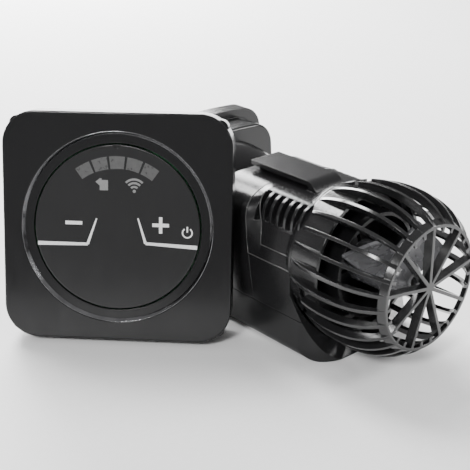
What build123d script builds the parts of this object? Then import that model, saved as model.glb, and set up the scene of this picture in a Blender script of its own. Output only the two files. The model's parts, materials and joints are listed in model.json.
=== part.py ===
from build123d import *
import math
import os

# Wave maker pump with its magnet holder and its controller. Millimetres, +Z up.
# The pump's own axis runs along Y with the nose towards -Y, and y = 0 is the joint between
# the motor housing and the cage. z = 0 is the surface that the pump stands on.
# Pump parts are drawn about the Y axis and raised by AXIS_HEIGHT. Controller parts are drawn
# on their front face (x right, y up, z out of the face) and then leaned into place.

# ---- driving dimensions: pump -------------------------------------------------------------
AXIS_HEIGHT = 39.0        # pump axis above the surface it stands on
BODY_HALF_WIDTH = 31.0
BODY_TOP = 26.0           # top of the housing above the axis
BODY_REAR = 51.5
WALL = 2.0
SEAM = 0.15               # half of the visible line between two shells
LEDGE_LOW = -1.0          # the full width ends here and a ledge runs in to the upper flank
LEDGE_HIGH = 4.5
CORNER_START = 13.5       # height where the flank starts to roll over to the top
RECESSED_FLANK = [29.2, 26.3, 26.6, 16.0]   # half-widths up the recessed flank in front
COWL_FLANK = [31.0, 30.2, 29.0, 10.0]       # the same on the full-width cowl behind
RAIL_HALF_WIDTH = 8.5
RECESS_SLOPE = 0.30       # both borders of the recess's rear wall lean back as they rise
RECESS_BORDER = 18.8      # where the rear wall starts, at axis height
BORDER_SLOPE = 0.17
COWL_BORDER = 26.4        # where the full-width cowl starts, at axis height
KEEL_SEAM = -22.0         # seam between the housing and the keel cover, from the axis
SHOE_FRONT = -20.0
SHOE_TOP = -12.0

MOTOR_BORE = 25.5
FIN_COUNT = 6
FIN_PITCH = 4.35
FIN_GAP = 2.9
FIN_FIRST = 2.6
FIN_LEAN = 51.0           # degrees from straight up to the middle of the corner
FIN_CUTTER = 11.0
FIN_DEEPEST = 28.2        # distance of the slot bottoms from the axis

# ---- cage ----------------------------------------------------------------------------------
CAGE_PROFILE = [(31.3, 0.0), (35.4, -12.0), (36.5, -24.0), (34.6, -37.5), (27.2, -49.4)]
CAGE_RIBS = 27
CAGE_SPOKES = 9
SPOKE_START = 50.5        # degrees, first spoke from +X towards +Z
RIB_WIDTH = 1.5
RIB_DEPTH = 3.4
COLLAR_LENGTH = 16.0
COLLAR_WALL = 1.7
SPIGOT_RADIUS = 29.2
SPIGOT_LENGTH = 9.5
LUG_ANGLES = [-165.0, -45.0, 75.0]
LUG_SPAN = 7.0
LUG_HEIGHT = 1.0
LUG_FRONT = -8.5
LUG_REAR = -6.0
BAYONET_TURN = 16.0
SHOE_CLEARANCE = 0.7
SHROUD_RADIUS = 23.5      # duct round the mouth of the rotor well
SHROUD_FRONT = -20.5

# ---- rotor and motor -----------------------------------------------------------------------
SHAFT_RADIUS = 1.5
RUNNING_GAP = 0.05
WELL_INNER = 10.6
WELL_WALL = 1.2
WELL_REAR = 24.0
ROTOR_RADIUS = 9.6
STATOR_OUTER = 23.6
STATOR_FRONT = 5.5
STATOR_REAR = 18.5
STATOR_TEETH = 6
DRIVER_FRONT = 25.0
BLADE_COUNT = 3
BLADE_RADIUS = 27.0
HUB_RADIUS = 9.0
NOSE_FRONT = -41.0
HUB_REAR = -12.0
HUB_SOCKET = 6.0          # how far the rotor sleeve reaches into the hub
BLADE_MIDDLE = -29.5

# ---- swivel and magnets --------------------------------------------------------------------
BALL_CENTRE = 75.0
BALL_RADIUS = 29.8
LINER_INNER = 30.1
LINER_OUTER = 31.1
DISH_RADIUS = 31.4
HOLDER_FRONT = 77.0
HOLDER_HALF_X = 31.0
HOLDER_HALF_Z = 35.0
HOLDER_REAR = 89.0
COVER_THICK = 2.0
PAD_THICK = 1.4
PAD_INSET = 2.0
OUTER_HALF_X = 36.0
OUTER_HALF_Z = 39.0
OUTER_DEPTH = 9.5
OUTER_FRONT = HOLDER_REAR + 2 * PAD_THICK
OUTER_REAR = OUTER_FRONT + OUTER_DEPTH
CAP_DEPTH = 5.0
CAP_INSET = 4.0
CROWN = 1.6
CORNER_RADIUS = 12.0
MAGNET_HALF = 21.0
MAGNET_THICK = 6.0

# ---- cable gland and screws ----------------------------------------------------------------
GLAND_Y = 34.0
GLAND_Z = -10.0
GLAND_RADIUS = 4.0
GLAND_INNER_END = 18.0
CABLE_BORE = 2.75
KEEL_SCREW_PLACES = [(-24.5, 8.0), (24.5, 8.0), (-24.5, 44.0), (24.5, 44.0)]
KEEL_SCREW_DEPTH = 1.2

# ---- controller ----------------------------------------------------------------------------
FACE = 99.0
FACE_CORNER = 14.5
SHELL_DEPTH = 12.0
SHELL_WALL = 2.4
FACE_THICK = 3.2
RING_OUTER = 41.6
RING_INNER = 40.1
RECESS_DEPTH = 1.5
DISC_RADIUS = 35.7
DISC_HOLE = 36.4
DISC_TOP = -0.9
DISC_THICK = 1.8
PIVOT_DEPTH = -4.6
PIVOT_RADIUS = 1.2
SADDLE_TOP = -3.1
BOARD_TOP = -7.2
BOARD_THICK = 1.6
LED_COUNT = 5
LED_INNER = 25.5
LED_OUTER = 30.8
LED_PITCH = 14.8
LED_SPAN = 12.8
REAR_FACE = 84.0
REAR_CORNER = 9.0
REAR_DEPTH = 9.5
REAR_SCREW_HALF = 43.6
SOCKET_HEIGHTS = (-8.0, 12.0)
CONTROLLER_X = -75.4
CONTROLLER_Y = 61.0
CONTROLLER_TURN = -45.85  # degrees about +Z, from facing -Y
CONTROLLER_LEAN = 13.3    # degrees, leaning back

os.makedirs("parts", exist_ok=True)


# ---- helpers -------------------------------------------------------------------------------
def rod(radius, y_low, y_high, x=0.0, z=0.0):
    """A cylinder along Y."""
    middle = (y_low + y_high) / 2
    return Pos(x, middle, z) * Rot(90, 0, 0) * Cylinder(radius, y_high - y_low)


def tube(outer, inner, y_low, y_high):
    return rod(outer, y_low, y_high) - rod(inner, y_low - 1, y_high + 1)


def block(x_low, x_high, y_low, y_high, z_low, z_high):
    centre = Pos((x_low + x_high) / 2, (y_low + y_high) / 2, (z_low + z_high) / 2)
    return centre * Box(x_high - x_low, y_high - y_low, z_high - z_low)


def turned(edges):
    """Revolve a closed outline, drawn as (radius, y), about the Y axis."""
    return revolve(make_face(edges), Axis.Y)


def along_y(sketch, y_low, y_high):
    """Extrude a sketch, drawn as (x, z), from y_low to y_high."""
    return Rot(90, 0, 0) * Pos(0, 0, -y_high) * extrude(sketch, amount=y_high - y_low)


def across(sketch, half_width):
    """Extrude a sketch, drawn as (y, z), both ways along X."""
    return Rot(0, 0, 90) * Rot(90, 0, 0) * extrude(sketch, amount=half_width, both=True)


def around_y(solid, count, start=0.0):
    """Copies of a solid spaced evenly about the Y axis; angles run from +X towards +Z."""
    return [Rot(0, -start - index * 360 / count, 0) * solid for index in range(count)]


def save(name, shape, raised=True):
    placed = Pos(0, 0, AXIS_HEIGHT) * shape if raised else shape
    export_step(placed, "parts/" + name + ".step")


def joined(solids):
    """Fuse a list of touching solids."""
    return solids[0] + solids[1:]


# ---- pump body outline ---------------------------------------------------------------------
def body_section(flank, y_middle, slope):
    """Cross-section of the body on a plane that leans by slope; flank gives its half-widths."""
    side = BODY_HALF_WIDTH
    ledge, shoulder, roll, top = flank
    low = -AXIS_HEIGHT
    foot = 4.0

    def at(x, z):
        return (x, y_middle + slope * z, z)

    def half(sign):
        return [
            Line(at(0, low), at(sign * (side - foot), low)),
            Bezier(at(sign * (side - foot), low), at(sign * side, low), at(sign * side, low + foot)),
            Line(at(sign * side, low + foot), at(sign * side, LEDGE_LOW)),
            Line(at(sign * side, LEDGE_LOW), at(sign * ledge, LEDGE_HIGH)),
            Line(at(sign * ledge, LEDGE_HIGH), at(sign * shoulder, CORNER_START)),
            Bezier(at(sign * shoulder, CORNER_START), at(sign * roll, BODY_TOP),
                   at(sign * top, BODY_TOP)),
            Line(at(sign * top, BODY_TOP), at(0, BODY_TOP)),
        ]

    return make_face(half(1) + half(-1))


def body_block():
    """The whole body as one closed form: recessed flanks in front, full-width cowl behind."""
    stations = [
        body_section(RECESSED_FLANK, 0.0, 0.0),
        body_section(RECESSED_FLANK, RECESS_BORDER, RECESS_SLOPE),
        body_section(COWL_FLANK, COWL_BORDER, BORDER_SLOPE),
        body_section(COWL_FLANK, BODY_REAR, 0.0),
    ]
    return loft(stations, ruled=True)


def cage_envelope(extra):
    """The space that the turning cage sweeps, grown by extra."""
    points = [(radius + extra, y) for radius, y in CAGE_PROFILE]
    outline = [
        Line((0, 1), (points[0][0], 1)),
        Line((points[0][0], 1), points[0]),
        Spline(*points),
        Line(points[-1], (0, points[-1][1])),
        Line((0, points[-1][1]), (0, 1)),
    ]
    return turned(outline)


def shoe_block():
    """The toe under the cage: a slanted, round-cornered step that cradles the collar."""
    low = -AXIS_HEIGHT
    side_view = Polyline((0.2, low), (SHOE_FRONT, low), (-0.5, SHOE_TOP), (0.2, SHOE_TOP), (0.2, low))
    slab = across(make_face(side_view), BODY_HALF_WIDTH)
    plan = RectangleRounded(2 * BODY_HALF_WIDTH, 80, 15)
    footprint = Pos(0, SHOE_FRONT + 40, low) * extrude(plan, amount=60)
    section = body_section(COWL_FLANK, -30.0, 0.0)
    profile = extrude(section, amount=40, dir=(0, 1, 0))
    return (slab & footprint & profile) - cage_envelope(SHOE_CLEARANCE)


def cowl_space(offset):
    """Everything behind the cowl's slanted border, moved back by offset."""
    start = COWL_BORDER + offset
    top = 60.0
    side_view = Polyline(
        (start - BORDER_SLOPE * top, -top), (120, -top), (120, top),
        (start + BORDER_SLOPE * top, top), (start - BORDER_SLOPE * top, -top))
    return across(make_face(side_view), 60)


def half_space_below(height):
    return block(-60, 60, -60, 120, -60, height)


def half_space_above(height):
    return block(-60, 60, -60, 120, height, 60)


# ---- pump shells ---------------------------------------------------------------------------
def cooling_slots():
    """Lens-shaped slots across both upper corners; the fins are what stays between them."""
    slots = []
    for index in range(FIN_COUNT):
        y_middle = FIN_FIRST + index * FIN_PITCH
        for lean in (-FIN_LEAN, FIN_LEAN):
            cutter = Rot(90, 0, 0) * Cylinder(FIN_CUTTER, FIN_GAP)
            slots.append(Rot(0, lean, 0) * Pos(0, y_middle, FIN_DEEPEST + FIN_CUTTER) * cutter)
    return slots


def top_rail():
    """The flat T-shaped rail on top, its front end curving down into the housing."""
    plate_low = 28.2
    plate_high = 30.3
    rail_rear = 49.5
    rail_front = 14.5
    nose = 7.6
    half = RAIL_HALF_WIDTH
    plate = block(-half, half, rail_front, rail_rear, plate_low, plate_high)
    web = block(-half + 3.5, half - 3.5, rail_front - 3, rail_rear - 2, BODY_TOP - 2, plate_low)
    side_view = [
        Line((rail_front, plate_high), (rail_front, BODY_TOP - 2)),
        Line((rail_front, BODY_TOP - 2), (nose, BODY_TOP - 2)),
        Line((nose, BODY_TOP - 2), (nose, BODY_TOP)),
        Bezier((nose, BODY_TOP), (nose + 3.0, plate_high), (rail_front, plate_high)),
    ]
    front = across(make_face(side_view), half)
    slots = [
        Pos(side * half, rail_front - 0.2, BODY_TOP + 1.35) * Rot(0, 90, 0) * Cylinder(1.35, 7)
        for side in (-1, 1)
    ]
    return plate + web + (front - slots)


def housing_ring():
    """The round neck at the front of the housing that the cage's collar butts against."""
    outline = Polyline((MOTOR_BORE, 0.0), (31.0, 0.0), (31.0, 1.4), (28.0, 7.5),
                       (MOTOR_BORE, 7.5), (MOTOR_BORE, 0.0))
    return turned(outline)


def motor_housing():
    body = (body_block() - cowl_space(-SEAM)) + shoe_block()
    body = body & half_space_above(KEEL_SEAM + SEAM)
    body = body - cooling_slots()
    body = body + (housing_ring() & half_space_above(KEEL_SEAM + SEAM))
    body = body + (top_rail() - cowl_space(-SEAM))
    return body - rod(MOTOR_BORE, -60, 60) - keel_screw_holes()


def keel_cover():
    body = body_block() + shoe_block()
    body = body & half_space_below(KEEL_SEAM - SEAM)
    body = body - rod(MOTOR_BORE + 0.3, -60, 60)
    hollow = block(-27.5, 27.5, -6.0, 48.0, -AXIS_HEIGHT + WALL + 0.5, -27.2)
    inner_posts = [post - rod(MOTOR_BORE + 0.3, -60, 60) for post in keel_posts()]
    return joined([body - hollow] + inner_posts) - keel_screw_holes()


def rear_cowl():
    body = (body_block() & cowl_space(SEAM)) & half_space_above(KEEL_SEAM + SEAM)
    ball = Pos(0, BALL_CENTRE, 0) * Sphere(DISH_RADIUS)
    hollow = rod(20.0, 0, 41.0)
    rail = top_rail() & cowl_space(SEAM)
    return body - ball - hollow - gland_rod(GLAND_RADIUS, 10, 40) - keel_screw_holes() + rail


def rotor_well():
    """Front flange, bayonet spigot and the closed well that the magnet rotor turns in."""
    well_outer = WELL_INNER + WELL_WALL
    shroud_outer = SHROUD_RADIUS
    outline = Polyline(
        (WELL_INNER, -2.0), (shroud_outer - 1.6, -2.0), (shroud_outer - 1.6, SHROUD_FRONT),
        (shroud_outer, SHROUD_FRONT), (shroud_outer, -2.0), (SPIGOT_RADIUS - 2.2, -2.0),
        (SPIGOT_RADIUS - 2.2, -SPIGOT_LENGTH), (SPIGOT_RADIUS, -SPIGOT_LENGTH),
        (SPIGOT_RADIUS, 0.0), (MOTOR_BORE - 0.02, 0.0), (MOTOR_BORE - 0.02, 3.0),
        (MOTOR_BORE - 2, 3.0), (MOTOR_BORE - 2, 0.6), (well_outer, 0.6), (well_outer, WELL_REAR),
        (0, WELL_REAR), (0, WELL_REAR - WELL_WALL), (WELL_INNER, WELL_REAR - WELL_WALL),
        (WELL_INNER, -2.0))
    body = turned(outline)
    lugs = [
        arc_block(angle, SPIGOT_RADIUS - 0.5, SPIGOT_RADIUS + LUG_HEIGHT, LUG_SPAN, LUG_FRONT, LUG_REAR)
        for angle in LUG_ANGLES
    ]
    return joined([body] + lugs)


def arc_block(angle, inner, outer, span, y_low, y_high):
    """A piece of a tube, centred at an angle from +X towards +Z and span degrees wide."""
    sector = Polyline((0, 0), (60, 60 * math.tan(math.radians(span / 2))),
                      (60, -60 * math.tan(math.radians(span / 2))), (0, 0))
    wedge = Rot(0, -angle, 0) * along_y(make_face(sector), y_low, y_high)
    return tube(outer, inner, y_low, y_high) & wedge


def flange_seal():
    """O-ring between the front flange and the housing."""
    return Pos(0, 4.2, 0) * Rot(90, 0, 0) * Torus(MOTOR_BORE - 1.3, 1.0)


# ---- motor ---------------------------------------------------------------------------------
def stator_core():
    """Laminated ring with inward teeth."""
    yoke = tube(STATOR_OUTER, STATOR_OUTER - 3.4, STATOR_FRONT, STATOR_REAR)
    inner = WELL_INNER + WELL_WALL + 0.1
    tooth = block(inner + 0.4, STATOR_OUTER - 2, STATOR_FRONT, STATOR_REAR, -2.0, 2.0)
    shoe = tube(inner + 1.8, inner, STATOR_FRONT, STATOR_REAR) & block(
        0, 40, STATOR_FRONT, STATOR_REAR, -4.4, 4.4)
    teeth = around_y(tooth + shoe, STATOR_TEETH)
    return joined([yoke] + teeth)


def stator_coils():
    """One winding round each tooth."""
    inner = WELL_INNER + WELL_WALL + 2.2
    outer = STATOR_OUTER - 3.8
    coil = block(inner, outer, STATOR_FRONT - 1.6, STATOR_REAR + 1.6, -4.0, 4.0)
    coil = fillet(coil.edges().filter_by(Axis.X), 1.4)
    coil = coil - block(0, 40, STATOR_FRONT - 0.05, STATOR_REAR + 0.05, -2.05, 2.05)
    return Compound(around_y(coil, STATOR_TEETH))


def driver_board():
    return rod(19.4, DRIVER_FRONT, DRIVER_FRONT + BOARD_THICK)


def driver_parts():
    """Capacitor, power chips and the magnetic field sensor on the driver board."""
    rear = DRIVER_FRONT + BOARD_THICK
    capacitor = rod(4.0, rear, rear + 7.5, x=-9, z=6)
    chips = [block(x, x + 6, rear, rear + 1.8, -12, -7) for x in (-13, -4, 5)]
    sensor = block(5, 11, rear, rear + 1.5, 5, 10)
    return Compound([capacitor, sensor] + chips)


def ceramic_shaft():
    shaft = rod(SHAFT_RADIUS, NOSE_FRONT + 3.0, WELL_REAR - WELL_WALL)
    return chamfer(shaft.edges(), 0.25)


def rear_bush():
    """Rubber-backed seat that holds the rear end of the fixed shaft."""
    y_rear = WELL_REAR - WELL_WALL
    return tube(4.4, SHAFT_RADIUS, y_rear - 3.0, y_rear)


def front_bush():
    """Bearing bush pressed into the front of the propeller hub; it turns on the shaft."""
    return tube(3.2, SHAFT_RADIUS + RUNNING_GAP, NOSE_FRONT + 4.0, NOSE_FRONT + 9.0)


def rotor_magnet():
    return tube(ROTOR_RADIUS, 4.2, 1.0, WELL_REAR - WELL_WALL - 4.0)


def rotor_sleeve():
    """Moulded carrier: bearing tube through the magnet into the hub, and a front collar."""
    y_rear = WELL_REAR - WELL_WALL - 4.0
    core = tube(4.2, SHAFT_RADIUS + RUNNING_GAP, HUB_REAR - HUB_SOCKET + 0.1, y_rear)
    collar = tube(ROTOR_RADIUS, 4.1, -1.0, 1.0)
    return core + collar


def propeller_blade(angle):
    """One broad, twisted blade, lofted between a root and a tip section."""
    chord_root = 15.0
    chord_tip = 19.0

    def section(radius, chord, pitch, thickness):
        plane = Plane(origin=(radius, BLADE_MIDDLE, 0), x_dir=(0, -1, 0), z_dir=(1, 0, 0))
        return plane * Rot(0, 0, pitch) * SlotOverall(chord, thickness)

    blade = loft([
        section(HUB_RADIUS - 2.5, chord_root, 62, 2.4),
        section((HUB_RADIUS + BLADE_RADIUS) / 2, (chord_root + chord_tip) / 2, 50, 1.9),
        section(BLADE_RADIUS + 1.0, chord_tip, 40, 1.4),
    ])
    return Rot(0, -angle, 0) * blade


def propeller():
    socket_end = HUB_REAR - HUB_SOCKET
    hub_outline = [
        Line((4.3, HUB_REAR), (HUB_RADIUS, HUB_REAR)),
        Line((HUB_RADIUS, HUB_REAR), (HUB_RADIUS, NOSE_FRONT + 11)),
        Bezier((HUB_RADIUS, NOSE_FRONT + 11), (HUB_RADIUS, NOSE_FRONT + 2.5),
               (4.2, NOSE_FRONT)),
        Line((4.2, NOSE_FRONT), (2.3, NOSE_FRONT)),
        Line((2.3, NOSE_FRONT), (2.3, NOSE_FRONT + 4)),
        Line((2.3, NOSE_FRONT + 4), (3.2, NOSE_FRONT + 4)),
        Line((3.2, NOSE_FRONT + 4), (3.2, NOSE_FRONT + 9)),
        Line((3.2, NOSE_FRONT + 9), (2.3, NOSE_FRONT + 9)),
        Line((2.3, NOSE_FRONT + 9), (2.3, socket_end)),
        Line((2.3, socket_end), (4.3, socket_end)),
        Line((4.3, socket_end), (4.3, HUB_REAR)),
    ]
    blades = [propeller_blade(index * 360 / BLADE_COUNT + 20) for index in range(BLADE_COUNT)]
    hub = turned(hub_outline)
    trimmed = joined(blades) & tube(BLADE_RADIUS, HUB_RADIUS - 1.0, -60, 0)
    return hub + trimmed


# ---- cage ----------------------------------------------------------------------------------
def cage_rib():
    outer = Spline(*CAGE_PROFILE)
    front_radius, front_y = CAGE_PROFILE[-1]
    inner_points = [(31.2 - COLLAR_WALL, 0.0)]
    inner_points += [(radius - RIB_DEPTH, y) for radius, y in CAGE_PROFILE[1:]]
    inner = Spline(*inner_points)
    front = Line((front_radius, front_y), (front_radius - RIB_DEPTH, front_y))
    base = Line((31.2 - COLLAR_WALL, 0.0), CAGE_PROFILE[0])
    return extrude(make_face([outer, front, inner, base]), amount=RIB_WIDTH / 2, both=True)


def cage_collar():
    radius = CAGE_PROFILE[0][0]
    front = radius + 1.2
    outline = Polyline(
        (radius - COLLAR_WALL, 0.0), (radius, 0.0), (front, -COLLAR_LENGTH),
        (front - COLLAR_WALL, -COLLAR_LENGTH), (radius - COLLAR_WALL, 0.0))
    return turned(outline)


def cage_front():
    """Front ring that follows the barrel, with nine thin radial bars meeting in the middle."""
    depth = 4.0
    front_radius, front_y = CAGE_PROFILE[-1]
    ring_outer = Polyline(
        (front_radius, front_y), (front_radius + 1.6, front_y + depth - 1),
        (front_radius + 0.2, front_y + depth - 1), (front_radius - 1.3, front_y), (front_radius, front_y))
    ring = turned(ring_outer)
    bar = block(0, front_radius - 0.7, front_y, front_y + depth, -RIB_WIDTH / 2, RIB_WIDTH / 2)
    bars = around_y(bar, CAGE_SPOKES, SPOKE_START)
    hub = rod(2.4, front_y, front_y + depth)
    return joined([ring, hub] + bars)


def cage_windows():
    """Openings in the collar where the spigot's lugs lock; each is one lug plus the turn long."""
    span = LUG_SPAN + BAYONET_TURN + 1.5
    middle_shift = -BAYONET_TURN / 2
    return [
        arc_block(angle - middle_shift, 20, 40, span, LUG_FRONT - 0.4, LUG_REAR + 0.4)
        for angle in LUG_ANGLES
    ]


def impeller_cage():
    ribs = around_y(cage_rib(), CAGE_RIBS, SPOKE_START)
    cage = joined([cage_collar(), cage_front()] + ribs)
    cage = cage - rod(SPIGOT_RADIUS + 0.3, -SPIGOT_LENGTH - 0.5, 1)
    return cage - cage_windows()


# ---- swivel and magnets --------------------------------------------------------------------
def ball(radius):
    return Pos(0, BALL_CENTRE, 0) * Sphere(radius)


def swivel_liner():
    """Rubber friction liner between the holder's dome and the dish in the rear cowl."""
    shell = ball(LINER_OUTER) - ball(LINER_INNER)
    zone = rod(12.5, 40, 60) - rod(6.0, 39, 61)
    return shell & zone


def crowned_plate(half_x, half_z, crown, corner):
    """Rounded rectangle whose four sides bulge slightly; drawn as (x, z)."""
    x = half_x - crown
    z = half_z - crown
    outline = [
        ThreePointArc((-x, z), (0, half_z), (x, z)),
        ThreePointArc((x, z), (half_x, 0), (x, -z)),
        ThreePointArc((x, -z), (0, -half_z), (-x, -z)),
        ThreePointArc((-x, -z), (-half_x, 0), (-x, z)),
    ]
    face = make_face(outline)
    return fillet(face.vertices(), corner)


def magnet_case(half_x, half_z, y_low, y_high):
    return along_y(crowned_plate(half_x, half_z, CROWN, CORNER_RADIUS), y_low, y_high)


def holder_housing():
    """Inner magnet housing with the dome that the pump swivels on."""
    rear = HOLDER_REAR - COVER_THICK
    case = magnet_case(HOLDER_HALF_X, HOLDER_HALF_Z, HOLDER_FRONT, rear)
    case = fillet(case.faces().sort_by(Axis.Y)[0].edges(), 1.2)
    dome = ball(BALL_RADIUS) & block(-40, 40, 30, HOLDER_FRONT + 0.5, -40, 40)
    pocket = magnet_case(HOLDER_HALF_X - 3, HOLDER_HALF_Z - 3, HOLDER_FRONT + 2.5, rear + 1)
    return case + dome - pocket - ball(BALL_RADIUS - 2.5)


def square_magnet(y_low, thickness):
    plate = RectangleRounded(2 * MAGNET_HALF, 2 * MAGNET_HALF, 3)
    return along_y(plate, y_low, y_low + thickness)


def holder_magnet():
    return square_magnet(HOLDER_REAR - COVER_THICK - MAGNET_THICK, MAGNET_THICK)


def holder_cover():
    return magnet_case(HOLDER_HALF_X - 0.4, HOLDER_HALF_Z - 0.4, HOLDER_REAR - COVER_THICK, HOLDER_REAR)


def holder_pad():
    return magnet_case(
        HOLDER_HALF_X - PAD_INSET, HOLDER_HALF_Z - PAD_INSET, HOLDER_REAR, HOLDER_REAR + PAD_THICK)


def outer_pad():
    front = HOLDER_REAR + PAD_THICK
    return magnet_case(OUTER_HALF_X - 5, OUTER_HALF_Z - 5, front, OUTER_FRONT)


def outer_housing():
    case = magnet_case(OUTER_HALF_X, OUTER_HALF_Z, OUTER_FRONT, OUTER_REAR)
    case = fillet(case.faces().sort_by(Axis.Y)[-1].edges(), 1.2)
    pocket = magnet_case(OUTER_HALF_X - 3, OUTER_HALF_Z - 3, OUTER_FRONT + COVER_THICK, OUTER_REAR - 2)
    opening = magnet_case(
        OUTER_HALF_X - 4, OUTER_HALF_Z - 4, OUTER_FRONT - 1, OUTER_FRONT + COVER_THICK + 0.1)
    return case - pocket - opening


def outer_cover():
    return magnet_case(
        OUTER_HALF_X - 4.05, OUTER_HALF_Z - 4.05, OUTER_FRONT + 0.05, OUTER_FRONT + COVER_THICK)


def outer_magnet():
    return square_magnet(OUTER_FRONT + COVER_THICK, OUTER_DEPTH - COVER_THICK - 2.0)


def outer_grip():
    """Stepped cap on the back of the outer magnet that the hand pulls on."""
    cap = magnet_case(
        OUTER_HALF_X - CAP_INSET, OUTER_HALF_Z - CAP_INSET / 2, OUTER_REAR, OUTER_REAR + CAP_DEPTH)
    return fillet(cap.faces().sort_by(Axis.Y)[-1].edges(), 2.0)


def dish_magnet():
    """Disc magnet behind the dish that keeps the pump pulled on to the dome."""
    return rod(11.0, 37.0, 41.0)


# ---- cable gland and fasteners -------------------------------------------------------------
def cable_gland():
    """Rubber bush with the cable's bore, in the right side of the rear cowl."""
    flange = 1.6
    bush = gland_rod(GLAND_RADIUS, GLAND_INNER_END, BODY_HALF_WIDTH)
    collar = gland_rod(GLAND_RADIUS + 1.2, BODY_HALF_WIDTH, BODY_HALF_WIDTH + flange)
    return bush + collar - gland_rod(CABLE_BORE, 0, 40)


def gland_rod(radius, x_low, x_high):
    """A cylinder along X on the gland's centre line."""
    middle = (x_low + x_high) / 2
    return Pos(middle, GLAND_Y, GLAND_Z) * Rot(0, 90, 0) * Cylinder(radius, x_high - x_low)


def screw(head_radius, head_height, shank_radius, length):
    """A pan-head screw standing on its head at z = 0, shank up, hexagon socket in the head."""
    head = Pos(0, 0, head_height / 2) * Cylinder(head_radius, head_height)
    head = fillet(head.edges().sort_by(Axis.Z)[0], head_height * 0.3)
    shank = Pos(0, 0, head_height + length / 2) * Cylinder(shank_radius, length)
    socket = extrude(RegularPolygon(head_radius * 0.5, 6), amount=head_height * 0.5)
    return head + shank - socket


def keel_screws():
    """Four screws from below that hold the keel cover to the housing and the cowl."""
    low = -AXIS_HEIGHT + KEEL_SCREW_DEPTH
    return Compound([Pos(x, y, low) * screw(2.6, 1.8, 1.2, 17.0) for x, y in KEEL_SCREW_PLACES])


def keel_posts():
    """Screw posts inside the keel cover."""
    top = KEEL_SEAM - SEAM
    posts = []
    for x, y in KEEL_SCREW_PLACES:
        posts.append(Pos(x, y, (top - AXIS_HEIGHT) / 2) * Cylinder(3.8, top + AXIS_HEIGHT))
    return posts


def keel_screw_holes():
    low = -AXIS_HEIGHT
    holes = []
    for x, y in KEEL_SCREW_PLACES:
        holes.append(Pos(x, y, low + 1.5) * Cylinder(2.75, 2 * KEEL_SCREW_DEPTH + 0.6))
        holes.append(Pos(x, y, low + 12) * Cylinder(1.25, 24))
    return holes


# ---- controller ----------------------------------------------------------------------------
def controller_place():
    """Location of the face centre: turned, leaned back and standing on the shell's rear edge."""
    lean = math.radians(CONTROLLER_LEAN)
    height = FACE / 2 * math.cos(lean) + SHELL_DEPTH * math.sin(lean)
    spot = Pos(CONTROLLER_X, CONTROLLER_Y, height)
    return spot * Rot(0, 0, CONTROLLER_TURN) * Rot(90 - CONTROLLER_LEAN, 0, 0)


def disc(radius, top, thickness):
    """A disc whose outer face is at z = top, on the controller's own axes."""
    return Pos(0, 0, top - thickness / 2) * Cylinder(radius, thickness)


def pad(size, corner, top, thickness):
    return Pos(0, 0, top - thickness) * extrude(RectangleRounded(size, size, corner), amount=thickness)


def controller_shell():
    """Front shell: square with rounded corners, open at the back, a round window for the
    panel and four screw posts in its corners."""
    body = pad(FACE, FACE_CORNER, 0, SHELL_DEPTH)
    body = fillet(body.faces().sort_by(Axis.Z)[-1].edges(), 0.8)
    hollow = pad(FACE - 2 * SHELL_WALL, FACE_CORNER - SHELL_WALL, -FACE_THICK, SHELL_DEPTH)
    step = disc(RING_OUTER, 0.1, RECESS_DEPTH + 0.1)
    window = disc(DISC_HOLE, 0.1, SHELL_DEPTH)
    return joined([body - hollow - step - window] + shell_posts()) - rear_screw_holes()


def bevel_ring():
    """Bright chamfered ring round the recess, with the flat dark step inside it."""
    outline = Polyline(
        (RING_INNER, -RECESS_DEPTH), (RING_OUTER, -RECESS_DEPTH), (RING_OUTER, -0.15),
        (RING_OUTER - 0.25, -0.05), (RING_INNER, -RECESS_DEPTH))
    return revolve(Rot(90, 0, 0) * make_face(outline), Axis.Z)


def led_window_shapes(top, thickness):
    """Arc-shaped light windows above the middle of the panel."""
    windows = []
    reach = LED_OUTER + 10
    spread = reach * math.tan(math.radians(LED_SPAN / 2))
    for index in range(LED_COUNT):
        angle = 90 + (index - (LED_COUNT - 1) / 2) * LED_PITCH
        sector = Polyline((0, 0), (reach, spread), (reach, -spread), (0, 0))
        ring = Circle(LED_OUTER) - Circle(LED_INNER)
        shape = ring & make_face(sector)
        windows.append(Pos(0, 0, top - thickness) * Rot(0, 0, angle) * extrude(shape, amount=thickness))
    return windows


def keypad_disc():
    """Round rocker panel: the left and right thirds press the switches behind it."""
    plate = disc(DISC_RADIUS, DISC_TOP, DISC_THICK)
    plate = fillet(plate.edges().sort_by(Axis.Z)[-1], 0.4)
    notch = Pos(0, DISC_RADIUS, DISC_TOP) * Cylinder(1.6, 1.2)
    pivot = Pos(0, 0, PIVOT_DEPTH) * Rot(90, 0, 0) * Cylinder(PIVOT_RADIUS, 42)
    web_height = DISC_TOP - DISC_THICK - PIVOT_DEPTH
    webs = [
        Pos(0, side * 12.5, PIVOT_DEPTH + web_height / 2) * Box(2.0, 6, web_height)
        for side in (-1, 1)
    ]
    return joined([plate, pivot] + webs) - notch - led_window_shapes(DISC_TOP + 0.2, DISC_THICK + 0.4)


def led_windows():
    return Compound(led_window_shapes(DISC_TOP, DISC_THICK))


def pivot_bearings():
    """Two saddles on the shell's back frame that carry the panel's pivot rod."""
    saddles = []
    for side in (-1, 1):
        saddle = Pos(0, 0, (BOARD_TOP + SADDLE_TOP) / 2) * Box(6.0, 3.0, SADDLE_TOP - BOARD_TOP)
        bore = Pos(0, 0, PIVOT_DEPTH) * Rot(90, 0, 0) * Cylinder(PIVOT_RADIUS + RUNNING_GAP, 10)
        saddles.append(Pos(0, side * 18.5, 0) * (saddle - bore))
    return Compound(saddles)


def controller_board():
    return pad(80, 8, BOARD_TOP, BOARD_THICK)


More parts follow.
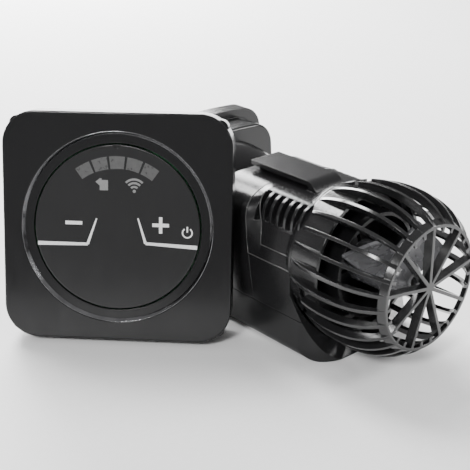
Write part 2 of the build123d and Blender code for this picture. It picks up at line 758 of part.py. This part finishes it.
def board_leds():
    """One small light behind each window."""
    lights = []
    middle = (LED_INNER + LED_OUTER) / 2
    for index in range(LED_COUNT):
        angle = math.radians(90 + (index - (LED_COUNT - 1) / 2) * LED_PITCH)
        spot = Pos(middle * math.cos(angle), middle * math.sin(angle), BOARD_TOP + 0.5)
        lights.append(spot * Box(2.0, 2.0, 1.0))
    return Compound(lights)


def key_switches():
    """Two dome switches, one under each side of the rocker panel."""
    switches = []
    for side in (-1, 1):
        base = Box(6.0, 6.0, 2.2)
        plunger = Pos(0, 0, 2.0) * Cylinder(1.6, 1.8)
        switches.append(Pos(side * 27, 0, BOARD_TOP + 1.1) * (base + plunger))
    return Compound(switches)


def board_parts():
    """Regulator, radio module and capacitors on the back of the board."""
    back = BOARD_TOP - BOARD_THICK
    module = Pos(18, 20, back - 1.2) * Box(18, 14, 2.4)
    regulator = Pos(-20, 22, back - 1.5) * Box(10, 9, 3.0)
    capacitors = [Pos(x, -18, back - 3.0) * Cylinder(4.0, 6.0) for x in (-12, 0, 12)]
    return Compound([module, regulator] + capacitors)


def socket_holes():
    """Holes for the two sockets in the left wall of the rear case."""
    middle = -SHELL_DEPTH - REAR_DEPTH / 2
    return [
        Pos(-REAR_FACE / 2 + 6, y, middle) * Rot(0, 90, 0) * Cylinder(3.2, 14)
        for y in SOCKET_HEIGHTS
    ]


def controller_rear_case():
    body = pad(REAR_FACE, REAR_CORNER, -SHELL_DEPTH, REAR_DEPTH)
    body = fillet(body.faces().sort_by(Axis.Z)[0].edges(), 1.0)
    lip = pad(FACE - 2 * SHELL_WALL - 0.1, FACE_CORNER - SHELL_WALL, -SHELL_DEPTH + 2.0, 2.0)
    hollow = pad(REAR_FACE - 4, REAR_CORNER - 2, -SHELL_DEPTH + 3, REAR_DEPTH + 1)
    return body + lip - hollow - socket_holes() - rear_screw_holes()


def corner_places(half):
    return [(x * half, y * half) for x in (-1, 1) for y in (-1, 1)]


def rear_screw_holes():
    places = corner_places(REAR_SCREW_HALF)
    return [Pos(x, y, -SHELL_DEPTH) * Cylinder(1.3, 14) for x, y in places]


def controller_screws():
    """Four screws from behind, through the flange of the rear case into the shell's posts."""
    screws = []
    for x, y in corner_places(REAR_SCREW_HALF):
        screws.append(Pos(x, y, -SHELL_DEPTH - 1.4) * screw(2.4, 1.4, 1.25, 6.0))
    return Compound(screws)


def shell_posts():
    """Screw posts from the back of the face down to the flange of the rear case."""
    high = -FACE_THICK + 0.3
    low = -SHELL_DEPTH + 2.0
    middle = (high + low) / 2
    return [Pos(x, y, middle) * Cylinder(3.4, high - low) for x, y in corner_places(REAR_SCREW_HALF)]


def socket_at(height):
    """A round socket in the left wall of the rear case, bored for a 4.5 mm plug."""
    middle = -SHELL_DEPTH - REAR_DEPTH / 2
    barrel = Pos(-REAR_FACE / 2 + 5, height, middle) * Rot(0, 90, 0) * Cylinder(3.2, 11)
    bore = Pos(-REAR_FACE / 2 + 3.5, height, middle) * Rot(0, 90, 0) * Cylinder(2.25, 11)
    return barrel - bore


def power_socket():
    return socket_at(SOCKET_HEIGHTS[0])


def pump_socket():
    return socket_at(SOCKET_HEIGHTS[1])


def wall_pads():
    """Two adhesive strips on the back for fixing the controller to a cabinet."""
    back = -SHELL_DEPTH - REAR_DEPTH
    return Compound([Pos(x, 0, back - 0.4) * Box(14, 60, 0.8) for x in (-24, 20)])


# ---- write every piece ---------------------------------------------------------------------
PUMP_NODES = {
    "motor_housing": motor_housing,
    "keel_cover": keel_cover,
    "rear_cowl": rear_cowl,
    "rotor_well": rotor_well,
    "flange_seal": flange_seal,
    "stator_core": stator_core,
    "stator_coils": stator_coils,
    "driver_board": driver_board,
    "driver_parts": driver_parts,
    "ceramic_shaft": ceramic_shaft,
    "rear_bush": rear_bush,
    "front_bush": front_bush,
    "rotor_magnet": rotor_magnet,
    "rotor_sleeve": rotor_sleeve,
    "propeller": propeller,
    "impeller_cage": impeller_cage,
    "swivel_liner": swivel_liner,
    "dish_magnet": dish_magnet,
    "holder_housing": holder_housing,
    "holder_magnet": holder_magnet,
    "holder_cover": holder_cover,
    "holder_pad": holder_pad,
    "outer_pad": outer_pad,
    "outer_housing": outer_housing,
    "outer_cover": outer_cover,
    "outer_magnet": outer_magnet,
    "outer_grip": outer_grip,
    "cable_gland": cable_gland,
    "keel_screws": keel_screws,
}

CONTROLLER_NODES = {
    "controller_shell": controller_shell,
    "bevel_ring": bevel_ring,
    "keypad_disc": keypad_disc,
    "led_windows": led_windows,
    "pivot_bearings": pivot_bearings,
    "controller_board": controller_board,
    "board_leds": board_leds,
    "key_switches": key_switches,
    "board_parts": board_parts,
    "controller_rear_case": controller_rear_case,
    "controller_screws": controller_screws,
    "power_socket": power_socket,
    "pump_socket": pump_socket,
    "wall_pads": wall_pads,
}


def main():
    for name, build in PUMP_NODES.items():
        save(name, build())
    for name, build in CONTROLLER_NODES.items():
        save(name, controller_place() * build(), raised=False)


if __name__ == "__main__":
    main()
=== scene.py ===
import json
import math

import bmesh
import bpy
from mathutils import Matrix, Vector


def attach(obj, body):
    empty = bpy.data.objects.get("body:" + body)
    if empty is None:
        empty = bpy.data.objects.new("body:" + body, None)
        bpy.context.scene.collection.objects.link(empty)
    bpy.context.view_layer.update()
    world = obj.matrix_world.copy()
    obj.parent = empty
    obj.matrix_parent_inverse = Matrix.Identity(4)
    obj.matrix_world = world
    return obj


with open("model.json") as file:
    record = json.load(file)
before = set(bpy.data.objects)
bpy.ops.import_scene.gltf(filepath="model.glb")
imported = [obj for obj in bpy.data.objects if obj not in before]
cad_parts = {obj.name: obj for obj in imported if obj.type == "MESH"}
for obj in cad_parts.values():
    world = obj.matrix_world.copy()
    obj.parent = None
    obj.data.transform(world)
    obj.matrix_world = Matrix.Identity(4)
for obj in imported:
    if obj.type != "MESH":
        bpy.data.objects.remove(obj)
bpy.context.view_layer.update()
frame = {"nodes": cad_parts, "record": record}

# Wave maker pump and its controller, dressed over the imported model. Metres, +Z up.
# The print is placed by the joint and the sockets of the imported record. The lips follow the recess
# of the housing, measured from the pump's axis, whose height the record gives.

# ---- camera and light ----------------------------------------------------------------------
CAMERA_PLACE = (-0.30857, -0.28262, 0.23021)
CAMERA_TURN = (66.12, 0.0, -41.16)      # degrees
CAMERA_LENS = 80.43                     # millimetres on a 36 mm sensor
WORLD_LOW = 0.32                        # strength at the horizon
WORLD_HIGH = 0.40                       # strength overhead
FLOOR_SIZE = 30.0

MM = 0.001                              # metres in a millimetre

# ---- controller panel, millimetres from its centre -----------------------------------------
PIVOT_BELOW_FACE = 4.6                  # from the controller's face to the rocking axis
PANEL_BELOW_FACE = 0.9                  # from the controller's face to the round panel
PRINT_THICKNESS = 0.05
ICON_ROW = 18.3                         # height of the flow and signal icons
FLOW_X = -6.3
SIGNAL_X = 7.4
POWER_PLACE = (30.3, -1.3)
SIGN_BAR = (0.9, 2.4)                   # lower and upper edge of the minus and of the plus's bar
MINUS_SPAN = (-22.5, -15.2)
PLUS_SPAN = (15.2, 22.4)
PLUS_STEM = (18.1, 19.5)
PLUS_REACH = (-1.9, 5.2)                # lower and upper end of the plus's stem
LEFT_LINE = ((-34.6, -7.7), (-12.9, -7.5), (-8.9, 3.8))
RIGHT_LINE = ((34.6, -7.6), (12.3, -6.5), (9.0, 4.4))
LINE_WIDTHS = (1.7, 1.2, 0.6)           # at the rim, at the bend and at the upper end

# ---- recess in the pump's flanks, millimetres from the pump's axis -------------------------
# Places on a lip are (x, z). border is the y of the recess's rear edge at the height of the axis,
# and slope is how far that edge leans back for each millimetre of height.
LIP_RADIUS = 0.30
OUTER_LIP = {"ledge": (31.0, -1.0), "shoulder": (30.2, 13.5), "roll": (29.0, 26.0),
             "top": (10.0, 26.0), "border": 26.4, "slope": 0.17}
INNER_LIP = {"ledge": (29.2, 4.5), "shoulder": (26.3, 13.5), "roll": (26.6, 26.0),
             "top": (16.0, 26.0), "border": 18.8, "slope": 0.30}
LIP_REACH = 0.75                        # share of the corner's roll that the lip climbs
LIP_STEPS = 12                          # points over that roll
LIP_FRONT = 0.6                         # where the lips start, behind the cage's collar

# ---- studio, metres ------------------------------------------------------------------------
LIGHT_TARGET = (-0.03, 0.02, 0.04)
FLOOR_DROP = 0.0002                     # keeps the floor's paper under the pump's keel

RECORD = frame["record"]


def add_object(name, data):
    """An object of some data, in the scene."""
    thing = bpy.data.objects.new(name, data)
    bpy.context.scene.collection.objects.link(thing)
    return thing


# ---- shader helpers ------------------------------------------------------------------------
def grey(level):
    """A neutral colour."""
    return (level, level, level)


def cool_black(level):
    """A near black that leans slightly to blue, as carbon-filled plastic does."""
    return (level, level, level + 0.0005)


def shaded(tone, share):
    """A colour made darker or lighter by a share."""
    return tuple(share * value for value in tone)


def new_material(name):
    """A material with an empty node tree but for a Principled shader and its output."""
    material = bpy.data.materials.new(name)
    material.use_nodes = True
    tree = material.node_tree
    tree.nodes.clear()
    shader = tree.nodes.new("ShaderNodeBsdfPrincipled")
    output = tree.nodes.new("ShaderNodeOutputMaterial")
    tree.links.new(shader.outputs["BSDF"], output.inputs["Surface"])
    return material, tree, shader


def place_noise(tree, scale, detail=3.0, stretch=(1.0, 1.0, 1.0)):
    """Noise in the model's own space; returns its factor output."""
    place = tree.nodes.new("ShaderNodeTexCoord")
    mapping = tree.nodes.new("ShaderNodeMapping")
    mapping.inputs["Scale"].default_value = stretch
    noise = tree.nodes.new("ShaderNodeTexNoise")
    noise.inputs["Scale"].default_value = scale
    noise.inputs["Detail"].default_value = detail
    tree.links.new(place.outputs["Object"], mapping.inputs["Vector"])
    tree.links.new(mapping.outputs["Vector"], noise.inputs["Vector"])
    return noise.outputs["Fac"]


def spread(tree, factor, low, high, start=0.3, end=0.7):
    """Remap a factor to a range of values."""
    remap = tree.nodes.new("ShaderNodeMapRange")
    remap.inputs["From Min"].default_value = start
    remap.inputs["From Max"].default_value = end
    remap.inputs["To Min"].default_value = low
    remap.inputs["To Max"].default_value = high
    tree.links.new(factor, remap.inputs["Value"])
    return remap.outputs["Result"]


def two_tones(tree, factor, first, second):
    """Blend two colours by a factor."""
    mix = tree.nodes.new("ShaderNodeMix")
    mix.data_type = "RGBA"
    mix.inputs["A"].default_value = (*first, 1.0)
    mix.inputs["B"].default_value = (*second, 1.0)
    tree.links.new(factor, mix.inputs["Factor"])
    return mix.outputs["Result"]


def tint(tree, shader, factor, first, second):
    """Colour a shader between two tones by a noise factor."""
    tones = two_tones(tree, spread(tree, factor, 0, 1), first, second)
    tree.links.new(tones, shader.inputs["Base Color"])


def roughen(tree, shader, factor, low, high):
    """Roughness of a shader between two values by a noise factor."""
    tree.links.new(spread(tree, factor, low, high), shader.inputs["Roughness"])


def bumped(tree, shader, layers, edge=0.0):
    """Stack bump layers of (factor, height in metres) over softly rounded edges."""
    normal = None
    if edge:
        rounding = tree.nodes.new("ShaderNodeBevel")
        rounding.samples = 6
        rounding.inputs["Radius"].default_value = edge
        normal = rounding.outputs["Normal"]
    for factor, height in layers:
        bump = tree.nodes.new("ShaderNodeBump")
        bump.inputs["Strength"].default_value = 1.0
        bump.inputs["Distance"].default_value = height
        tree.links.new(factor, bump.inputs["Height"])
        if normal:
            tree.links.new(normal, bump.inputs["Normal"])
        normal = bump.outputs["Normal"]
    tree.links.new(normal, shader.inputs["Normal"])


# ---- materials -----------------------------------------------------------------------------
def moulded_plastic(name, tone, roughness, grain, edge=0.0003, lustre=0.4):
    """Black moulded plastic: fine spark texture and slow changes of tone and sheen."""
    material, tree, shader = new_material(name)
    slow = place_noise(tree, 55, 4)
    fine = place_noise(tree, 3800, 2)
    pits = place_noise(tree, 900, 5)
    tint(tree, shader, slow, shaded(tone, 0.85), shaded(tone, 1.15))
    roughen(tree, shader, pits, roughness - 0.03, roughness + 0.05)
    shader.inputs["Specular IOR Level"].default_value = lustre
    bumped(tree, shader, [(fine, grain)], edge)
    return material


def polished_plastic(name, tone, roughness=0.09, smear=0.06, edge=0.0004):
    """Polished black plastic with faint wiping marks and finger smears."""
    material, tree, shader = new_material(name)
    smears = place_noise(tree, 38, 6)
    wipes = place_noise(tree, 260, 3, (1.0, 1.0, 0.06))
    dust = place_noise(tree, 2600, 1)
    both = tree.nodes.new("ShaderNodeMath")
    both.operation = "MULTIPLY"
    tree.links.new(smears, both.inputs[0])
    tree.links.new(wipes, both.inputs[1])
    rough = spread(tree, both.outputs["Value"], roughness, roughness + smear, 0.15, 0.4)
    tree.links.new(rough, shader.inputs["Roughness"])
    bright = tuple(value + 0.05 for value in tone)
    specks = spread(tree, dust, 0, 1, 0.74, 0.9)
    tree.links.new(two_tones(tree, specks, tone, bright), shader.inputs["Base Color"])
    shader.inputs["Specular IOR Level"].default_value = 0.3
    bumped(tree, shader, [(smears, 0.00001)], edge)
    return material


def smoky_plastic(name, tone):
    """Dark plastic that lets a little light through, for the propeller."""
    material, tree, shader = new_material(name)
    flow = place_noise(tree, 140, 4, (1.0, 0.25, 1.0))
    tint(tree, shader, flow, tone, shaded(tone, 1.8))
    roughen(tree, shader, flow, 0.2, 0.34)
    shader.inputs["Transmission Weight"].default_value = 0.4
    shader.inputs["Subsurface Weight"].default_value = 0.15
    shader.inputs["Subsurface Radius"].default_value = (0.004, 0.004, 0.004)
    bumped(tree, shader, [(flow, 0.00002)], 0.0002)
    return material


def soft_rubber(name, tone):
    """Matt rubber or foam with an open surface."""
    material, tree, shader = new_material(name)
    cells = place_noise(tree, 1700, 5)
    slow = place_noise(tree, 80, 3)
    tint(tree, shader, slow, tone, shaded(tone, 1.6))
    roughen(tree, shader, cells, 0.68, 0.86)
    bumped(tree, shader, [(cells, 0.00006)], 0.0002)
    return material


def fine_metal(name, tone, roughness, stretch):
    """Turned or ground metal: streaks along one direction."""
    material, tree, shader = new_material(name)
    streaks = place_noise(tree, 900, 4, stretch)
    spots = place_noise(tree, 160, 5)
    tint(tree, shader, spots, shaded(tone, 0.7), tone)
    roughen(tree, shader, streaks, 0.7 * roughness, 1.4 * roughness)
    shader.inputs["Metallic"].default_value = 1.0
    bumped(tree, shader, [(streaks, 0.00001)], 0.00015)
    return material


def laminations(name):
    """Stacked steel sheets, one every half millimetre along the pump's axis."""
    material, tree, shader = new_material(name)
    place = tree.nodes.new("ShaderNodeTexCoord")
    bands = tree.nodes.new("ShaderNodeTexWave")
    bands.bands_direction = "Y"
    bands.inputs["Scale"].default_value = 310.0
    bands.inputs["Distortion"].default_value = 0.2
    tree.links.new(place.outputs["Object"], bands.inputs["Vector"])
    tones = two_tones(tree, bands.outputs["Fac"], (0.10, 0.10, 0.11), (0.42, 0.41, 0.40))
    tree.links.new(tones, shader.inputs["Base Color"])
    shader.inputs["Metallic"].default_value = 1.0
    shader.inputs["Roughness"].default_value = 0.38
    bumped(tree, shader, [(bands.outputs["Fac"], 0.00006)])
    return material


def windings(name):
    """Enamelled copper wire, laid turn beside turn along the pump's axis."""
    material, tree, shader = new_material(name)
    place = tree.nodes.new("ShaderNodeTexCoord")
    turns = tree.nodes.new("ShaderNodeTexWave")
    turns.inputs["Scale"].default_value = 420.0
    turns.inputs["Distortion"].default_value = 0.6
    tree.links.new(place.outputs["Object"], turns.inputs["Vector"])
    tones = two_tones(tree, turns.outputs["Fac"], (0.28, 0.07, 0.02), (0.75, 0.30, 0.10))
    tree.links.new(tones, shader.inputs["Base Color"])
    shader.inputs["Metallic"].default_value = 0.9
    shader.inputs["Roughness"].default_value = 0.3
    bumped(tree, shader, [(turns.outputs["Fac"], 0.00012)])
    return material


def circuit_board(name):
    """Green solder mask over a faint pattern of tracks."""
    material, tree, shader = new_material(name)
    place = tree.nodes.new("ShaderNodeTexCoord")
    tracks = tree.nodes.new("ShaderNodeTexBrick")
    tracks.inputs["Scale"].default_value = 260.0
    tracks.inputs["Mortar Size"].default_value = 0.06
    tracks.inputs["Color1"].default_value = (0.008, 0.075, 0.03, 1.0)
    tracks.inputs["Color2"].default_value = (0.012, 0.10, 0.04, 1.0)
    tracks.inputs["Mortar"].default_value = (0.05, 0.22, 0.09, 1.0)
    tree.links.new(place.outputs["Object"], tracks.inputs["Vector"])
    tree.links.new(tracks.outputs["Color"], shader.inputs["Base Color"])
    shader.inputs["Roughness"].default_value = 0.32
    bumped(tree, shader, [(tracks.outputs["Fac"], 0.00003)])
    return material


def pale_ceramic(name, tone):
    """Fine-grained ceramic, or the pale body of a light."""
    material, tree, shader = new_material(name)
    grain = place_noise(tree, 2400, 3)
    tint(tree, shader, grain, shaded(tone, 0.86), tone)
    roughen(tree, shader, grain, 0.3, 0.45)
    bumped(tree, shader, [(grain, 0.00001)], 0.0001)
    return material


def printed_ink(name, tone):
    """Screen-printed ink on the panel, slightly uneven in its cover."""
    material, tree, shader = new_material(name)
    cover = place_noise(tree, 1500, 4)
    tint(tree, shader, cover, shaded(tone, 0.8), tone)
    roughen(tree, shader, cover, 0.35, 0.55)
    bumped(tree, shader, [(cover, 0.00001)])
    return material


def light_window(name):
    """Smoked diffusing window over an unlit lamp."""
    material, tree, shader = new_material(name)
    cloud = place_noise(tree, 700, 3)
    tint(tree, shader, cloud, grey(0.065), grey(0.08))
    roughen(tree, shader, cloud, 0.25, 0.4)
    shader.inputs["Subsurface Weight"].default_value = 0.2
    shader.inputs["Subsurface Radius"].default_value = (0.002, 0.002, 0.002)
    bumped(tree, shader, [(cloud, 0.00001)], 0.00015)
    return material


def slot_materials():
    """One material for every material slot of the record."""
    return {
        "housing_plastic": moulded_plastic("Housing", cool_black(0.011), 0.22, 0.000003),
        "cage_plastic": moulded_plastic("Cage", cool_black(0.012), 0.17, 0.000002, 0.0004, 0.6),
        "well_plastic": moulded_plastic("Well", cool_black(0.005), 0.3, 0.000003),
        "propeller_plastic": smoky_plastic("Propeller", (0.09, 0.09, 0.095)),
        "rotor_plastic": moulded_plastic("Rotor", grey(0.03), 0.4, 0.00002),
        "soft_rubber": soft_rubber("Rubber", grey(0.014)),
        "lamination_steel": laminations("Laminations"),
        "copper_winding": windings("Windings"),
        "board_laminate": circuit_board("Board"),
        "board_component": moulded_plastic("Component", grey(0.02), 0.4, 0.00002, 0.0001),
        "white_ceramic": pale_ceramic("Ceramic", (0.82, 0.81, 0.78)),
        "ferrite": moulded_plastic("Ferrite", (0.06, 0.06, 0.065), 0.5, 0.00004),
        "nickel_magnet": fine_metal("Nickel", (0.60, 0.58, 0.54), 0.24, (1.0, 1.0, 0.2)),
        "stainless_screw": fine_metal("Stainless", (0.52, 0.51, 0.50), 0.28, (1.0, 1.0, 0.1)),
        "magnet_case_plastic": moulded_plastic("Magnet_case", cool_black(0.010), 0.2, 0.000003),
        "controller_gloss": polished_plastic("Controller_gloss", cool_black(0.012)),
        "controller_ring": fine_metal("Controller_ring", (0.30, 0.30, 0.31), 0.12, (1.0, 1.0, 1.0)),
        "keypad_gloss": polished_plastic("Keypad_gloss", cool_black(0.021), 0.12, 0.06, 0.0003),
        "light_window": light_window("Light_window"),
        "controller_inner": moulded_plastic("Inner", grey(0.03), 0.45, 0.00002, 0.0001),
        "controller_case": moulded_plastic("Controller_case", cool_black(0.012), 0.35, 0.000005),
        "light_chip": pale_ceramic("Light_chip", (0.75, 0.74, 0.60)),
        "socket_plastic": moulded_plastic("Socket", grey(0.03), 0.35, 0.00002, 0.0001),
        "adhesive_foam": soft_rubber("Foam", grey(0.45)),
    }


def dress_nodes(materials):
    """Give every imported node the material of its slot."""
    for part in RECORD["subparts"]:
        piece = frame["nodes"][part["node"]]
        piece.data.materials.clear()
        piece.data.materials.append(materials[part["material_slot"]])


# ---- controller print ----------------------------------------------------------------------
def joint_named(name):
    """A joint of the record."""
    return next(joint for joint in RECORD["behaviour"]["joints"] if joint["name"] == name)


def mount_named(name):
    """A mount of the record."""
    return next(mount for mount in RECORD["mounts"] if mount["name"] == name)


def panel_frame():
    """Matrix from the panel's own axes (x right, y up, z out, on its face) to the model."""
    rock = joint_named("keypad_rock")
    up = Vector(rock["axis"]).normalized()
    right = -Vector(mount_named("power_inlet")["axis"]).normalized()
    out = right.cross(up)
    centre = Vector(rock["pos_m"]) + out * (PIVOT_BELOW_FACE - PANEL_BELOW_FACE) * MM
    place = Matrix((right, up, out)).transposed().to_4x4()
    place.translation = centre
    return place


def arc(centre, radius, start, end, steps):
    """Points on an arc, in millimetres; angles in degrees from +x."""
    points = []
    for index in range(steps + 1):
        angle = math.radians(start + (end - start) * index / steps)
        points.append((centre[0] + radius * math.cos(angle), centre[1] + radius * math.sin(angle)))
    return points


def band(centre, inner, outer, start, end, steps=24):
    """Outline of a piece of a ring."""
    return arc(centre, outer, start, end, steps) + arc(centre, inner, end, start, steps)


def rectangle(x_low, x_high, y_low, y_high):
    """Outline of an upright rectangle."""
    return [(x_low, y_low), (x_high, y_low), (x_high, y_high), (x_low, y_high)]


def stroke(start, end, start_width, end_width):
    """A tapered straight line as an outline."""
    first = Vector(start)
    last = Vector(end)
    side = (last - first).normalized().orthogonal()
    return [tuple(first + side * start_width / 2), tuple(last + side * end_width / 2),
            tuple(last - side * end_width / 2), tuple(first - side * start_width / 2)]


def bent_line(points, widths):
    """Two strokes that meet at a bend, each as an outline."""
    rim, bend, top = points
    return [stroke(rim, bend, widths[0], widths[1]), stroke(bend, top, widths[1], widths[2])]


def printed(name, outlines, place, material):
    """Thin printed shapes, each outline a closed list of points in millimetres."""
    mesh_data = bpy.data.meshes.new(name)
    mesh = bmesh.new()
    for outline in outlines:
        corners = [mesh.verts.new((x * MM, y * MM, 0.0)) for x, y in outline]
        face = mesh.faces.new(corners)
        face.normal_update()
        if face.normal.z < 0:
            face.normal_flip()
        raised = bmesh.ops.extrude_face_region(mesh, geom=[face])
        lifted = [item for item in raised["geom"] if isinstance(item, bmesh.types.BMVert)]
        bmesh.ops.translate(mesh, verts=lifted, vec=(0, 0, PRINT_THICKNESS * MM))
    bmesh.ops.recalc_face_normals(mesh, faces=mesh.faces)
    mesh.to_mesh(mesh_data)
    mesh.free()
    mesh_data.materials.append(material)
    piece = add_object(name, mesh_data)
    piece.matrix_world = place
    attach(piece, "keypad")


def flow_icon(centre):
    """A stubby block arrow that points left, for the flow setting."""
    x, y = centre
    return [[(x - 3.0, y + 1.4), (x - 1.2, y - 0.2), (x - 1.2, y - 2.2), (x + 2.4, y - 2.2),
             (x + 2.4, y + 2.2), (x - 0.4, y + 2.2), (x - 0.4, y + 2.9), (x - 1.2, y + 2.9)]]


def signal_icon(centre):
    """Three arcs over a dot."""
    x, y = centre
    foot = (x, y - 2.3)
    rings = [band(foot, radius - 0.45, radius + 0.45, 45, 135) for radius in (1.9, 3.5, 5.1)]
    return rings + [arc(foot, 0.7, 0, 350, 20)]


def power_icon(centre):
    """A ring that is open at its top, with a short bar in the gap."""
    x, y = centre
    return [band(centre, 1.75, 2.35, 125, 415, 40), rectangle(x - 0.32, x + 0.32, y + 0.2, y + 2.7)]


def print_panel():
    """Everything printed on the round panel."""
    place = panel_frame()
    white = printed_ink("White_ink", grey(0.80))
    dim = printed_ink("Grey_ink", grey(0.20))
    stem_low, stem_high = PLUS_REACH
    bar_low, bar_high = SIGN_BAR
    plus = [rectangle(*PLUS_SPAN, *SIGN_BAR),
            rectangle(*PLUS_STEM, bar_high, stem_high),
            rectangle(*PLUS_STEM, stem_low, bar_low)]
    printed("Icon_flow", flow_icon((FLOW_X, ICON_ROW)), place, dim)
    printed("Icon_signal", signal_icon((SIGNAL_X, ICON_ROW)), place, dim)
    printed("Icon_minus", [rectangle(*MINUS_SPAN, *SIGN_BAR)], place, white)
    printed("Icon_plus", plus, place, white)
    printed("Icon_power", power_icon(POWER_PLACE), place, white)
    printed("Line_left", bent_line(LEFT_LINE, LINE_WIDTHS), place, white)
    printed("Line_right", bent_line(RIGHT_LINE, LINE_WIDTHS), place, white)


# ---- lips of the flank recess --------------------------------------------------------------
def lip_points(shape, side, axis_height):
    """Along the ledge from the front to the border, then up the border and over the corner."""
    ledge_x, ledge_z = shape["ledge"]
    section = [shape["ledge"], shape["shoulder"]]
    corners = (shape["shoulder"], shape["roll"], shape["top"])
    for index in range(1, LIP_STEPS + 1):
        t = LIP_REACH * index / LIP_STEPS
        weights = ((1 - t) ** 2, 2 * t * (1 - t), t * t)
        x = sum(weight * corner[0] for weight, corner in zip(weights, corners))
        z = sum(weight * corner[1] for weight, corner in zip(weights, corners))
        section.append((x, z))
    points = [(side * ledge_x, LIP_FRONT, ledge_z + axis_height)]
    for x, z in section:
        points.append((side * x, shape["border"] + shape["slope"] * z, z + axis_height))
    return points


def recess_lip(name, points, material):
    """A thin rounded lip that catches the light along an edge of the recess."""
    curve = bpy.data.curves.new(name, "CURVE")
    curve.dimensions = "3D"
    curve.bevel_depth = LIP_RADIUS * MM
    curve.bevel_resolution = 3
    curve.use_fill_caps = True
    line = curve.splines.new("POLY")
    line.points.add(len(points) - 1)
    for target, point in zip(line.points, points):
        target.co = (*[value * MM for value in point], 1.0)
    curve.materials.append(material)
    piece = add_object(name, curve)
    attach(piece, "pump_body")


def make_lips():
    """The outer and the inner lip of the recess, on both flanks, in a light grey that is a painted
    highlight.
    """
    # Painted highlight: the lips are the housing's own black plastic, but they are given a grey of
    # 0.06, far lighter than the housing, so that the recess edges show as bright lines.
    material = moulded_plastic("Lip", grey(0.06), 0.14, 0.000002)
    axis_height = joint_named("rotor_spin")["pos_m"][2] / MM
    for side, word in ((-1, "left"), (1, "right")):
        recess_lip("Lip_outer_" + word, lip_points(OUTER_LIP, side, axis_height), material)
        recess_lip("Lip_inner_" + word, lip_points(INNER_LIP, side, axis_height), material)


# ---- studio --------------------------------------------------------------------------------
def make_floor():
    """A wide plain floor of pale paper."""
    mesh_data = bpy.data.meshes.new("Floor")
    mesh = bmesh.new()
    bmesh.ops.create_grid(mesh, x_segments=1, y_segments=1, size=FLOOR_SIZE / 2)
    mesh.to_mesh(mesh_data)
    mesh.free()
    floor = add_object("Floor", mesh_data)
    floor.location = (0.0, 0.0, -FLOOR_DROP)
    material, tree, shader = new_material("Floor_paper")
    grain = place_noise(tree, 300, 3)
    tones = two_tones(tree, grain, grey(0.93), grey(0.97))
    tree.links.new(tones, shader.inputs["Base Color"])
    shader.inputs["Roughness"].default_value = 0.9
    mesh_data.materials.append(material)


def soft_light(name, place, size, power):
    """A square area light aimed at the object."""
    data = bpy.data.lights.new(name, "AREA")
    data.shape = "SQUARE"
    data.size = size
    data.energy = power
    lamp = add_object(name, data)
    lamp.location = place
    aim = Vector(LIGHT_TARGET) - Vector(place)
    lamp.rotation_euler = aim.to_track_quat("-Z", "Y").to_euler()


def make_studio():
    """An even pale sky, a large light behind the object and smaller ones round it."""
    world = bpy.data.worlds.new("Studio")
    world.use_nodes = True
    tree = world.node_tree
    background = tree.nodes["Background"]
    background.inputs["Color"].default_value = (1.0, 1.0, 1.0, 1.0)
    place = tree.nodes.new("ShaderNodeTexCoord")
    parts = tree.nodes.new("ShaderNodeSeparateXYZ")
    tree.links.new(place.outputs["Generated"], parts.inputs["Vector"])
    strength = spread(tree, parts.outputs["Z"], WORLD_LOW, WORLD_HIGH, 0.0, 1.0)
    tree.links.new(strength, background.inputs["Strength"])
    bpy.context.scene.world = world
    soft_light("Back", (0.42, 1.05, 0.50), 0.6, 34.0)
    soft_light("Overhead", (0.05, 0.70, 0.95), 0.4, 16.0)
    soft_light("Left_front", (-0.95, -0.35, 0.75), 0.25, 11.0)
    soft_light("Right_front", (0.75, -0.6, 0.5), 0.3, 8.0)


def make_camera():
    """The camera that sees the object as the photograph does."""
    data = bpy.data.cameras.new("Camera")
    data.sensor_width = 36.0
    data.lens = CAMERA_LENS
    camera = add_object("Camera", data)
    camera.location = CAMERA_PLACE
    camera.rotation_euler = [math.radians(angle) for angle in CAMERA_TURN]
    bpy.context.scene.camera = camera


# ---- build the scene -----------------------------------------------------------------------
dress_nodes(slot_materials())
print_panel()
make_lips()
make_floor()
make_studio()
make_camera()
